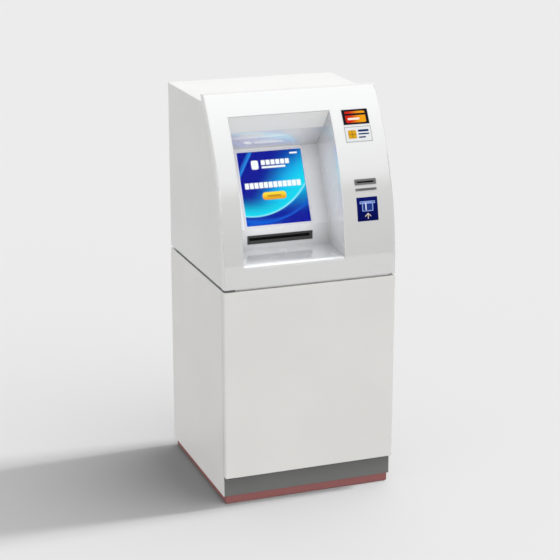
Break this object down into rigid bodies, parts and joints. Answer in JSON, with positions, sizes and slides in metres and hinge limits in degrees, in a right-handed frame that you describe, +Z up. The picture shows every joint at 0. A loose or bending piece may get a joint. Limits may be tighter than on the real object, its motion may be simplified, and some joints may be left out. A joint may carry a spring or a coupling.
{
  "type": "atm machine",
  "caption": "Lobby cash machine: safe cabinet with hinged door, slide-out curved fascia with screen recess, cash and card slots, note cassettes inside.",
  "frame": {"origin": "centre of the footprint, on the floor", "axes": "+Z up, the customer stands on the -Y side, +X is the customer's right"},
  "size_m": [0.62, 0.614, 1.4],
  "materials": {
    "body_paint": "light warm grey fine-texture powder coat",
    "hood_paint": "light grey fine-texture powder coat",
    "plinth_paint": "dull brick-red primer",
    "kick_paint": "dark grey powder coat",
    "steel_fasteners": "zinc plated",
    "bright_steel": "ground",
    "zinc_steel": "zinc-coated sheet",
    "case_steel": "black semi-matt",
    "neck_paint": "mid grey powder coat",
    "safe_paint": "grey satin enamel",
    "grommet_rubber": "matt black",
    "fan_plastic": "black moulded",
    "lock_chrome": "polished",
    "fascia_gloss": "glossy silver-white lacquer",
    "liner_gloss": "glossy light grey moulding",
    "rim_plastic": "white moulding",
    "screen_glass": "clear",
    "display": "black case with a lit blue panel",
    "dark_plastic": "dark grey moulded",
    "bezel_grey": "mid grey moulded",
    "label_film": "printed film",
    "shutter_steel": "fine brushed",
    "cassette_plastic": "blue-grey moulded",
    "reject_plastic": "dull red moulded",
    "roller_rubber": "matt black",
    "paper": "white thermal paper wound tight"
  },
  "bodies": {
    "cabinet": {"base_plinth": "plinth_paint", "kick_strip": "kick_paint", "side_panel_left": "body_paint", "side_panel_right": "body_paint", "rear_panel_lower": "body_paint", "rear_panel_upper": "body_paint", "rear_screws": "steel_fasteners", "cable_grommet": "grommet_rubber", "cabinet_top_plate": "zinc_steel", "neck_collar": "neck_paint", "upper_tray": "zinc_steel", "hood_shell": "hood_paint", "door_pivot_brackets": "kick_paint", "safe_body": "safe_paint", "dispenser_frame": "zinc_steel", "note_duct": "zinc_steel", "controller_case": "case_steel", "fan_housing": "fan_plastic", "slide_rails_fixed": "zinc_steel", "fascia_lock_barrel": "lock_chrome"},
    "door": {"safe_door_slab": "safe_paint", "bolt_guides": "bright_steel", "lock_actuator": "fan_plastic", "door_skin": "body_paint", "door_hinge_blocks": "zinc_steel", "door_pivot_pins": "bright_steel", "door_channels": "zinc_steel"},
    "bolt_work": {"lock_bolts": "bright_steel", "bolt_bar": "zinc_steel"},
    "fascia": {"fascia_shell": "fascia_gloss", "recess_liner": "liner_gloss", "recess_brow": "body_paint", "screen_bezel": "rim_plastic", "touch_glass": "screen_glass", "lcd_module": "display", "cash_slot_bezel": "dark_plastic", "card_bezel": "bezel_grey", "card_reader": "fan_plastic", "receipt_bezel": "bezel_grey", "receipt_printer": "zinc_steel", "card_guide_label": "label_film", "scheme_label_upper": "label_film", "scheme_label_lower": "label_film", "carriage_frame": "zinc_steel", "slide_rails_moving": "bright_steel"},
    "cassette_lower": {"cassette_lower": "cassette_plastic"},
    "cassette_middle": {"cassette_middle": "cassette_plastic"},
    "cassette_upper": {"cassette_upper": "cassette_plastic"},
    "reject_bin": {"reject_bin": "reject_plastic"},
    "pick_roller_lower": {"pick_roller_lower": "roller_rubber"},
    "pick_roller_middle": {"pick_roller_middle": "roller_rubber"},
    "pick_roller_upper": {"pick_roller_upper": "roller_rubber"},
    "exit_roller_lower": {"exit_roller_lower": "roller_rubber"},
    "exit_roller_upper": {"exit_roller_upper": "roller_rubber"},
    "fan_rotor": {"fan_rotor": "fan_plastic"},
    "cash_shutter": {"cash_shutter": "shutter_steel"},
    "card_gate": {"card_gate": "shutter_steel"},
    "paper_roll": {"paper_roll": "paper"},
    "platen_roller": {"platen_roller": "roller_rubber"},
    "fascia_lock_cam": {"fascia_lock_cam": "lock_chrome"}
  },
  "joints": [
    {"name": "door_hinge", "type": "hinge", "parent": "cabinet", "child": "door", "pos_m": [-0.297, -0.296, 0.438], "axis": [0, 0, -1], "range_deg": [0, 110]},
    {"name": "bolt_throw", "type": "slide", "parent": "door", "child": "bolt_work", "axis": [1, 0, 0], "range_m": [0, 0.02]},
    {"name": "fascia_slide", "type": "slide", "parent": "cabinet", "child": "fascia", "axis": [0, -1, 0], "range_m": [0, 0.3]},
    {"name": "fascia_lock_turn", "type": "hinge", "parent": "cabinet", "child": "fascia_lock_cam", "pos_m": [0.295, -0.007, 1.03], "axis": [1, 0, 0], "range_deg": [0, 90]},
    {"name": "cash_shutter_lift", "type": "slide", "parent": "fascia", "child": "cash_shutter", "axis": [0, 0, 1], "range_m": [0, 0.0063]},
    {"name": "card_gate_lift", "type": "slide", "parent": "fascia", "child": "card_gate", "axis": [0, 0.3061, 0.952], "range_m": [0, 0.006]},
    {"name": "fan_spin", "type": "hinge", "parent": "cabinet", "child": "fan_rotor", "pos_m": [0.17, 0.288, 1.26], "axis": [0, 1, 0], "continuous": true},
    {"name": "exit_lower_spin", "type": "hinge", "parent": "cabinet", "child": "exit_roller_lower", "pos_m": [-0.056, -0.121, 0.894], "axis": [1, 0, 0], "continuous": true},
    {"name": "exit_upper_spin", "type": "hinge", "parent": "cabinet", "child": "exit_roller_upper", "pos_m": [-0.056, -0.121, 0.914], "axis": [1, 0, 0], "continuous": true},
    {"name": "pick_lower_spin", "type": "hinge", "parent": "cabinet", "child": "pick_roller_lower", "pos_m": [0, 0.215, 0.242], "axis": [1, 0, 0], "continuous": true},
    {"name": "pick_middle_spin", "type": "hinge", "parent": "cabinet", "child": "pick_roller_middle", "pos_m": [0, 0.215, 0.372], "axis": [1, 0, 0], "continuous": true},
    {"name": "pick_upper_spin", "type": "hinge", "parent": "cabinet", "child": "pick_roller_upper", "pos_m": [0, 0.215, 0.502], "axis": [1, 0, 0], "continuous": true},
    {"name": "cassette_lower_slide", "type": "slide", "parent": "cabinet", "child": "cassette_lower", "axis": [0, -1, 0], "range_m": [0, 0.038]},
    {"name": "cassette_middle_slide", "type": "slide", "parent": "cabinet", "child": "cassette_middle", "axis": [0, -1, 0], "range_m": [0, 0.038]},
    {"name": "cassette_upper_slide", "type": "slide", "parent": "cabinet", "child": "cassette_upper", "axis": [0, -1, 0], "range_m": [0, 0.038]},
    {"name": "reject_bin_slide", "type": "slide", "parent": "cabinet", "child": "reject_bin", "axis": [0, -1, 0], "range_m": [0, 0.038]},
    {"name": "paper_roll_spin", "type": "hinge", "parent": "fascia", "child": "paper_roll", "pos_m": [0.211, -0.165, 0.96], "axis": [1, 0, 0], "continuous": true},
    {"name": "platen_spin", "type": "hinge", "parent": "fascia", "child": "platen_roller", "pos_m": [0.211, -0.227, 1.005], "axis": [1, 0, 0], "continuous": true}
  ],
  "couplings": [
    {"joint": "exit_upper_spin", "follows": "exit_lower_spin", "ratio": -1},
    {"joint": "platen_spin", "follows": "paper_roll_spin", "ratio": -4.5}
  ]
}
